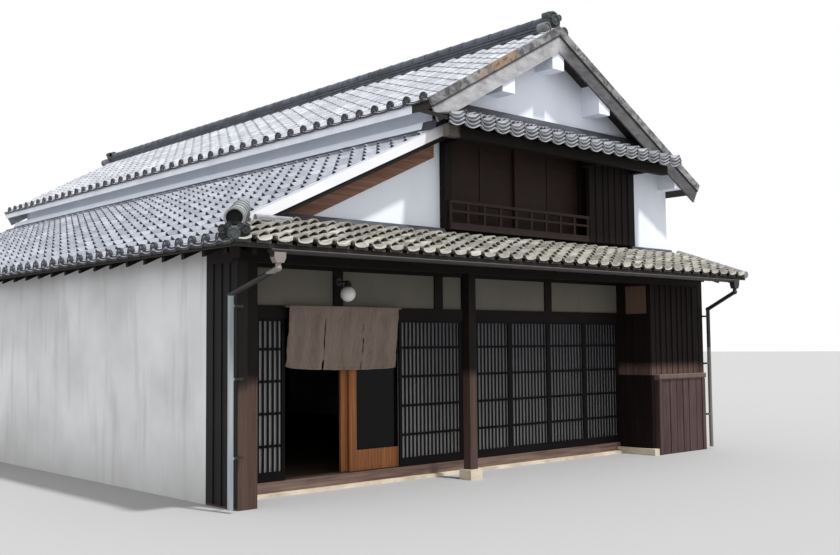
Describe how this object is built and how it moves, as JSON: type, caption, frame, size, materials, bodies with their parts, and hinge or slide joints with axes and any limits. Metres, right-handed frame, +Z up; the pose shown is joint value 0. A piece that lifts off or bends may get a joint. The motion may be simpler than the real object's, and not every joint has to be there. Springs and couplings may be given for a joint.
{
  "type": "machiya townhouse",
  "caption": "Timber machiya townhouse with tiled gable roof, lean-to aisle, lattice front, sliding entrance doors, door curtain and an upper window bay under its own small roof.",
  "frame": {"origin": "middle of the footprint box at ground level", "axes": "+X to the viewer's right along the street front, +Y into the plot away from the street, +Z up"},
  "size_m": [9.0128, 14.368, 6.0994],
  "materials": {
    "stone": "weathered granite, grey beige",
    "timber": "old dark brown softwood, dry and matte",
    "wing_boards": "charred black boards, matte",
    "bay_boards": "dark red-brown boards, matte",
    "floor_boards": "worn brown floor boards",
    "plaster_white": "white lime plaster, matte",
    "plaster_cream": "cream earth plaster, matte",
    "plaster_grey": "aged grey plaster, matte",
    "lattice": "near-black brown lattice wood, matte",
    "door_wood": "orange-brown oiled cedar",
    "window_wood": "dark brown sliding panels",
    "railing_wood": "weathered brown rail",
    "beam_wood": "orange-brown beam",
    "barge_wood": "grey weathered boards with lichen",
    "roof_boards": "dark roof boards under the tiles",
    "roof_tile": "silver-grey fired clay tile, low sheen",
    "front_tile": "tan-grey weathered clay tile",
    "ridge_tile": "dark blue-grey ridge tile, low sheen",
    "flashing": "dark grey painted sheet",
    "glass": "dark old window glass",
    "lamp_metal": "black painted metal",
    "lamp_glass": "opal white glass",
    "noren_cloth": "beige-brown linen, open plain weave",
    "pale_wood": "pale bamboo-coloured rod",
    "gutter": "grey painted sheet, dusty"
  },
  "bodies": {
    "house": {"base_stones": "stone", "ground_floor": "floor_boards", "front_posts": "timber", "eave_beam": "timber", "ground_sill": "timber", "front_wall_frame": "timber", "upper_floor_beam": "timber", "kokabe_wall": "plaster_cream", "left_wing_boards": "wing_boards", "left_wall": "plaster_grey", "right_wall": "plaster_white", "bay_side_walls": "bay_boards", "bay_board_wall": "bay_boards", "bay_apron": "bay_boards", "lattice_left": "lattice", "lattice_middle": "lattice", "lattice_right": "lattice", "lattice_glass": "glass", "noren_rod": "pale_wood", "noren": "noren_cloth", "lamp_bracket": "lamp_metal", "lamp_globe": "lamp_glass", "front_pent_roof": "roof_boards", "eave_rafters": "timber", "lean_to_roof": "roof_boards", "hip_ridge": "front_tile", "lean_to_verge": "plaster_white", "lean_to_beam": "beam_wood", "lean_to_gable_wall": "plaster_white", "clerestory_wall": "plaster_white", "aisle_beam": "timber", "aisle_posts": "timber", "roof_flashings": "flashing", "upper_floor": "floor_boards", "window_bay_frame": "timber", "window_panels": "window_wood", "window_railing": "railing_wood", "shutter_box": "bay_boards", "window_pent_roof": "roof_boards", "window_pent_beams": "timber", "upper_gable_wall": "plaster_white", "main_roof_left": "roof_boards", "main_roof_right": "roof_boards", "main_ridge": "ridge_tile", "ridge_end_tiles": "ridge_tile", "barge_boards": "barge_wood", "purlin_ends": "plaster_white", "rear_wall": "plaster_white", "rear_lattices": "lattice", "rear_glass": "glass", "rain_gutters": "gutter"},
    "outer_leaf": {"entrance_door_outer": "door_wood", "outer_door_glass": "glass"},
    "inner_leaf": {"entrance_door_inner": "door_wood", "inner_door_glass": "glass"}
  },
  "joints": [
    {"name": "outer_leaf_slide", "type": "slide", "parent": "house", "child": "outer_leaf", "axis": [1, 0, 0], "range_m": [-0.924, 0]},
    {"name": "inner_leaf_slide", "type": "slide", "parent": "house", "child": "inner_leaf", "axis": [1, 0, 0], "range_m": [-0.834, 0]}
  ]
}
